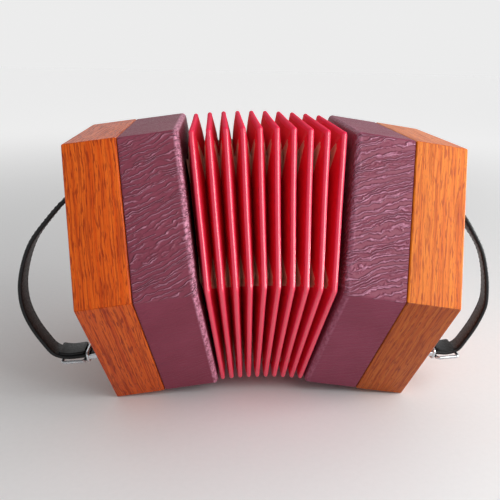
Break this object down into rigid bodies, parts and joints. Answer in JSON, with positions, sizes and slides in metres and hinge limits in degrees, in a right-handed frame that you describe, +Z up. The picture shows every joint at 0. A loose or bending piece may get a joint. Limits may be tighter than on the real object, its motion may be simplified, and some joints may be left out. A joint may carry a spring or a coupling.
{
  "type": "concertina",
  "caption": "Hexagonal concertina: two wooden ends with finger buttons and hand straps, joined by a folding bellows.",
  "frame": {"origin": "on the floor, under the middle of the bounding box", "axes": "+X towards the right-hand end along the bellows, +Y to the back, +Z up; the player-facing strap side is -Y"},
  "size_m": [0.29, 0.1906, 0.1749],
  "materials": {
    "frame_wood": "varnished, orange brown",
    "plate_wood": "varnished, a shade darker",
    "rail_wood": "varnished",
    "inner_wood": "bare, sanded",
    "casing_leather": "wavy embossed grain, satin",
    "bellows_cloth": "glossy red cloth over card",
    "strap_leather": "smooth, satin",
    "buckle_metal": "bright",
    "reed_metal": "brushed",
    "buttons": "polished, cream"
  },
  "bodies": {
    "left_end": {"left_casing": "casing_leather", "left_reed_pan": "inner_wood", "left_reed_plate": "reed_metal", "left_frame": "frame_wood", "left_action_board": "inner_wood", "left_end_plate": "plate_wood", "left_hand_rail": "rail_wood", "left_hand_strap": "strap_leather", "left_strap_buckle": "buckle_metal"},
    "bellows_card_01a": {"bellows_card_01a": "bellows_cloth"},
    "bellows_card_01b": {"bellows_card_01b": "bellows_cloth"},
    "bellows_card_02a": {"bellows_card_02a": "bellows_cloth"},
    "bellows_card_02b": {"bellows_card_02b": "bellows_cloth"},
    "bellows_card_03a": {"bellows_card_03a": "bellows_cloth"},
    "bellows_card_03b": {"bellows_card_03b": "bellows_cloth"},
    "bellows_card_04a": {"bellows_card_04a": "bellows_cloth"},
    "bellows_card_04b": {"bellows_card_04b": "bellows_cloth"},
    "bellows_card_05a": {"bellows_card_05a": "bellows_cloth"},
    "bellows_card_05b": {"bellows_card_05b": "bellows_cloth"},
    "bellows_card_06a": {"bellows_card_06a": "bellows_cloth"},
    "bellows_card_06b": {"bellows_card_06b": "bellows_cloth"},
    "bellows_card_07a": {"bellows_card_07a": "bellows_cloth"},
    "bellows_card_07b": {"bellows_card_07b": "bellows_cloth"},
    "bellows_card_08a": {"bellows_card_08a": "bellows_cloth"},
    "bellows_card_08b": {"bellows_card_08b": "bellows_cloth"},
    "bellows_card_09a": {"bellows_card_09a": "bellows_cloth"},
    "bellows_card_09b": {"bellows_card_09b": "bellows_cloth"},
    "bellows_card_10a": {"bellows_card_10a": "bellows_cloth"},
    "bellows_card_10b": {"bellows_card_10b": "bellows_cloth"},
    "right_end": {"right_casing": "casing_leather", "right_reed_pan": "inner_wood", "right_reed_plate": "reed_metal", "right_frame": "frame_wood", "right_action_board": "inner_wood", "right_end_plate": "plate_wood", "right_hand_rail": "rail_wood", "right_hand_strap": "strap_leather", "right_strap_buckle": "buckle_metal"},
    "left_key_01": {"left_key_01": "buttons"},
    "left_key_02": {"left_key_02": "buttons"},
    "left_key_03": {"left_key_03": "buttons"},
    "left_key_04": {"left_key_04": "buttons"},
    "left_key_05": {"left_key_05": "buttons"},
    "left_key_06": {"left_key_06": "buttons"},
    "left_key_07": {"left_key_07": "buttons"},
    "left_key_08": {"left_key_08": "buttons"},
    "left_key_09": {"left_key_09": "buttons"},
    "left_key_10": {"left_key_10": "buttons"},
    "right_key_01": {"right_key_01": "buttons"},
    "right_key_02": {"right_key_02": "buttons"},
    "right_key_03": {"right_key_03": "buttons"},
    "right_key_04": {"right_key_04": "buttons"},
    "right_key_05": {"right_key_05": "buttons"},
    "right_key_06": {"right_key_06": "buttons"},
    "right_key_07": {"right_key_07": "buttons"},
    "right_key_08": {"right_key_08": "buttons"},
    "right_key_09": {"right_key_09": "buttons"},
    "right_key_10": {"right_key_10": "buttons"},
    "right_air_key": {"right_air_key": "buttons"}
  },
  "joints": [
    {"name": "fan_00", "type": "hinge", "parent": "left_end", "child": "bellows_card_01a", "pos_m": [-0.02494, 0, 0.01011], "axis": [0, 1, 0], "range_deg": [-1.5, 1.5]},
    {"name": "pull_01", "type": "slide", "parent": "bellows_card_01a", "child": "bellows_card_01b", "axis": [0.9931, 0, 0.1175], "range_m": [-0.002, 0.012]},
    {"name": "fan_01", "type": "hinge", "parent": "bellows_card_01b", "child": "bellows_card_02a", "pos_m": [-0.01938, 0, 0.01077], "axis": [0, 1, 0], "range_deg": [-1.5, 1.5]},
    {"name": "pull_02", "type": "slide", "parent": "bellows_card_02a", "child": "bellows_card_02b", "axis": [0.9958, 0, 0.0915], "range_m": [-0.002, 0.012]},
    {"name": "fan_02", "type": "hinge", "parent": "bellows_card_02b", "child": "bellows_card_03a", "pos_m": [-0.01381, 0, 0.01128], "axis": [0, 1, 0], "range_deg": [-1.5, 1.5]},
    {"name": "pull_03", "type": "slide", "parent": "bellows_card_03a", "child": "bellows_card_03b", "axis": [0.9979, 0, 0.0654], "range_m": [-0.002, 0.012]},
    {"name": "fan_03", "type": "hinge", "parent": "bellows_card_03b", "child": "bellows_card_04a", "pos_m": [-0.00822, 0, 0.01165], "axis": [0, 1, 0], "range_deg": [-1.5, 1.5]},
    {"name": "pull_04", "type": "slide", "parent": "bellows_card_04a", "child": "bellows_card_04b", "axis": [0.9992, 0, 0.0393], "range_m": [-0.002, 0.012]},
    {"name": "fan_04", "type": "hinge", "parent": "bellows_card_04b", "child": "bellows_card_05a", "pos_m": [-0.00262, 0, 0.01187], "axis": [0, 1, 0], "range_deg": [-1.5, 1.5]},
    {"name": "pull_05", "type": "slide", "parent": "bellows_card_05a", "child": "bellows_card_05b", "axis": [0.9999, 0, 0.0131], "range_m": [-0.002, 0.012]},
    {"name": "fan_05", "type": "hinge", "parent": "bellows_card_05b", "child": "bellows_card_06a", "pos_m": [0.00298, 0, 0.01194], "axis": [0, 1, 0], "range_deg": [-1.5, 1.5]},
    {"name": "pull_06", "type": "slide", "parent": "bellows_card_06a", "child": "bellows_card_06b", "axis": [0.9999, 0, -0.0131], "range_m": [-0.002, 0.012]},
    {"name": "fan_06", "type": "hinge", "parent": "bellows_card_06b", "child": "bellows_card_07a", "pos_m": [0.00858, 0, 0.01187], "axis": [0, 1, 0], "range_deg": [-1.5, 1.5]},
    {"name": "pull_07", "type": "slide", "parent": "bellows_card_07a", "child": "bellows_card_07b", "axis": [0.9992, 0, -0.0393], "range_m": [-0.002, 0.012]},
    {"name": "fan_07", "type": "hinge", "parent": "bellows_card_07b", "child": "bellows_card_08a", "pos_m": [0.01417, 0, 0.01165], "axis": [0, 1, 0], "range_deg": [-1.5, 1.5]},
    {"name": "pull_08", "type": "slide", "parent": "bellows_card_08a", "child": "bellows_card_08b", "axis": [0.9979, 0, -0.0654], "range_m": [-0.002, 0.012]},
    {"name": "fan_08", "type": "hinge", "parent": "bellows_card_08b", "child": "bellows_card_09a", "pos_m": [0.01976, 0, 0.01128], "axis": [0, 1, 0], "range_deg": [-1.5, 1.5]},
    {"name": "pull_09", "type": "slide", "parent": "bellows_card_09a", "child": "bellows_card_09b", "axis": [0.9958, 0, -0.0915], "range_m": [-0.002, 0.012]},
    {"name": "fan_09", "type": "hinge", "parent": "bellows_card_09b", "child": "bellows_card_10a", "pos_m": [0.02534, 0, 0.01077], "axis": [0, 1, 0], "range_deg": [-1.5, 1.5]},
    {"name": "pull_10", "type": "slide", "parent": "bellows_card_10a", "child": "bellows_card_10b", "axis": [0.9931, 0, -0.1175], "range_m": [-0.002, 0.012]},
    {"name": "fan_10", "type": "hinge", "parent": "bellows_card_10b", "child": "right_end", "pos_m": [0.0309, 0, 0.01011], "axis": [0, 1, 0], "range_deg": [-1.5, 1.5]},
    {"name": "left_key_01_press", "type": "hinge", "parent": "left_end", "child": "left_key_01", "pos_m": [-0.08499, 0.024, 0.04788], "axis": [-0.1435, 0, 0.9897], "range_deg": [0, 4.1], "stiffness_Nm_per_rad": 0.2, "springref_deg": -8.59},
    {"name": "left_key_02_press", "type": "hinge", "parent": "left_end", "child": "left_key_02", "pos_m": [-0.08728, 0.024, 0.06372], "axis": [-0.1435, 0, 0.9897], "range_deg": [0, 4.1], "stiffness_Nm_per_rad": 0.2, "springref_deg": -8.59},
    {"name": "left_key_03_press", "type": "hinge", "parent": "left_end", "child": "left_key_03", "pos_m": [-0.08958, 0.024, 0.07955], "axis": [-0.1435, 0, 0.9897], "range_deg": [0, 4.1], "stiffness_Nm_per_rad": 0.2, "springref_deg": -8.59},
    {"name": "left_key_04_press", "type": "hinge", "parent": "left_end", "child": "left_key_04", "pos_m": [-0.09187, 0.024, 0.09539], "axis": [-0.1435, 0, 0.9897], "range_deg": [0, 4.1], "stiffness_Nm_per_rad": 0.2, "springref_deg": -8.59},
    {"name": "left_key_05_press", "type": "hinge", "parent": "left_end", "child": "left_key_05", "pos_m": [-0.09417, 0.024, 0.11122], "axis": [-0.1435, 0, 0.9897], "range_deg": [0, 4.1], "stiffness_Nm_per_rad": 0.2, "springref_deg": -8.59},
    {"name": "left_key_06_press", "type": "hinge", "parent": "left_end", "child": "left_key_06", "pos_m": [-0.08613, 0.037, 0.0558], "axis": [-0.1435, 0, 0.9897], "range_deg": [0, 4.1], "stiffness_Nm_per_rad": 0.2, "springref_deg": -8.59},
    {"name": "left_key_07_press", "type": "hinge", "parent": "left_end", "child": "left_key_07", "pos_m": [-0.08843, 0.037, 0.07164], "axis": [-0.1435, 0, 0.9897], "range_deg": [0, 4.1], "stiffness_Nm_per_rad": 0.2, "springref_deg": -8.59},
    {"name": "left_key_08_press", "type": "hinge", "parent": "left_end", "child": "left_key_08", "pos_m": [-0.09073, 0.037, 0.08747], "axis": [-0.1435, 0, 0.9897], "range_deg": [0, 4.1], "stiffness_Nm_per_rad": 0.2, "springref_deg": -8.59},
    {"name": "left_key_09_press", "type": "hinge", "parent": "left_end", "child": "left_key_09", "pos_m": [-0.09302, 0.037, 0.1033], "axis": [-0.1435, 0, 0.9897], "range_deg": [0, 4.1], "stiffness_Nm_per_rad": 0.2, "springref_deg": -8.59},
    {"name": "left_key_10_press", "type": "hinge", "parent": "left_end", "child": "left_key_10", "pos_m": [-0.09532, 0.037, 0.11914], "axis": [-0.1435, 0, 0.9897], "range_deg": [0, 4.1], "stiffness_Nm_per_rad": 0.2, "springref_deg": -8.59},
    {"name": "right_key_01_press", "type": "hinge", "parent": "right_end", "child": "right_key_01", "pos_m": [0.09094, 0.024, 0.04788], "axis": [-0.1435, 0, -0.9897], "range_deg": [0, 4.1], "stiffness_Nm_per_rad": 0.2, "springref_deg": -8.59},
    {"name": "right_key_02_press", "type": "hinge", "parent": "right_end", "child": "right_key_02", "pos_m": [0.09324, 0.024, 0.06372], "axis": [-0.1435, 0, -0.9897], "range_deg": [0, 4.1], "stiffness_Nm_per_rad": 0.2, "springref_deg": -8.59},
    {"name": "right_key_03_press", "type": "hinge", "parent": "right_end", "child": "right_key_03", "pos_m": [0.09553, 0.024, 0.07955], "axis": [-0.1435, 0, -0.9897], "range_deg": [0, 4.1], "stiffness_Nm_per_rad": 0.2, "springref_deg": -8.59},
    {"name": "right_key_04_press", "type": "hinge", "parent": "right_end", "child": "right_key_04", "pos_m": [0.09783, 0.024, 0.09539], "axis": [-0.1435, 0, -0.9897], "range_deg": [0, 4.1], "stiffness_Nm_per_rad": 0.2, "springref_deg": -8.59},
    {"name": "right_key_05_press", "type": "hinge", "parent": "right_end", "child": "right_key_05", "pos_m": [0.10012, 0.024, 0.11122], "axis": [-0.1435, 0, -0.9897], "range_deg": [0, 4.1], "stiffness_Nm_per_rad": 0.2, "springref_deg": -8.59},
    {"name": "right_key_06_press", "type": "hinge", "parent": "right_end", "child": "right_key_06", "pos_m": [0.09209, 0.037, 0.0558], "axis": [-0.1435, 0, -0.9897], "range_deg": [0, 4.1], "stiffness_Nm_per_rad": 0.2, "springref_deg": -8.59},
    {"name": "right_key_07_press", "type": "hinge", "parent": "right_end", "child": "right_key_07", "pos_m": [0.09438, 0.037, 0.07164], "axis": [-0.1435, 0, -0.9897], "range_deg": [0, 4.1], "stiffness_Nm_per_rad": 0.2, "springref_deg": -8.59},
    {"name": "right_key_08_press", "type": "hinge", "parent": "right_end", "child": "right_key_08", "pos_m": [0.09668, 0.037, 0.08747], "axis": [-0.1435, 0, -0.9897], "range_deg": [0, 4.1], "stiffness_Nm_per_rad": 0.2, "springref_deg": -8.59},
    {"name": "right_key_09_press", "type": "hinge", "parent": "right_end", "child": "right_key_09", "pos_m": [0.09898, 0.037, 0.1033], "axis": [-0.1435, 0, -0.9897], "range_deg": [0, 4.1], "stiffness_Nm_per_rad": 0.2, "springref_deg": -8.59},
    {"name": "right_key_10_press", "type": "hinge", "parent": "right_end", "child": "right_key_10", "pos_m": [0.10127, 0.037, 0.11914], "axis": [-0.1435, 0, -0.9897], "range_deg": [0, 4.1], "stiffness_Nm_per_rad": 0.2, "springref_deg": -8.59},
    {"name": "right_air_key_press", "type": "hinge", "parent": "right_end", "child": "right_air_key", "pos_m": [0.10414, 0.014, 0.13893], "axis": [-0.1435, 0, -0.9897], "range_deg": [0, 4.1], "stiffness_Nm_per_rad": 0.2, "springref_deg": -8.59}
  ],
  "couplings": [
    {"joint": "fan_01", "follows": "fan_00", "ratio": 1},
    {"joint": "pull_02", "follows": "pull_01", "ratio": 1},
    {"joint": "fan_02", "follows": "fan_00", "ratio": 1},
    {"joint": "pull_03", "follows": "pull_01", "ratio": 1},
    {"joint": "fan_03", "follows": "fan_00", "ratio": 1},
    {"joint": "pull_04", "follows": "pull_01", "ratio": 1},
    {"joint": "fan_04", "follows": "fan_00", "ratio": 1},
    {"joint": "pull_05", "follows": "pull_01", "ratio": 1},
    {"joint": "fan_05", "follows": "fan_00", "ratio": 1},
    {"joint": "pull_06", "follows": "pull_01", "ratio": 1},
    {"joint": "fan_06", "follows": "fan_00", "ratio": 1},
    {"joint": "pull_07", "follows": "pull_01", "ratio": 1},
    {"joint": "fan_07", "follows": "fan_00", "ratio": 1},
    {"joint": "pull_08", "follows": "pull_01", "ratio": 1},
    {"joint": "fan_08", "follows": "fan_00", "ratio": 1},
    {"joint": "pull_09", "follows": "pull_01", "ratio": 1},
    {"joint": "fan_09", "follows": "fan_00", "ratio": 1},
    {"joint": "pull_10", "follows": "pull_01", "ratio": 1},
    {"joint": "fan_10", "follows": "fan_00", "ratio": 1}
  ]
}
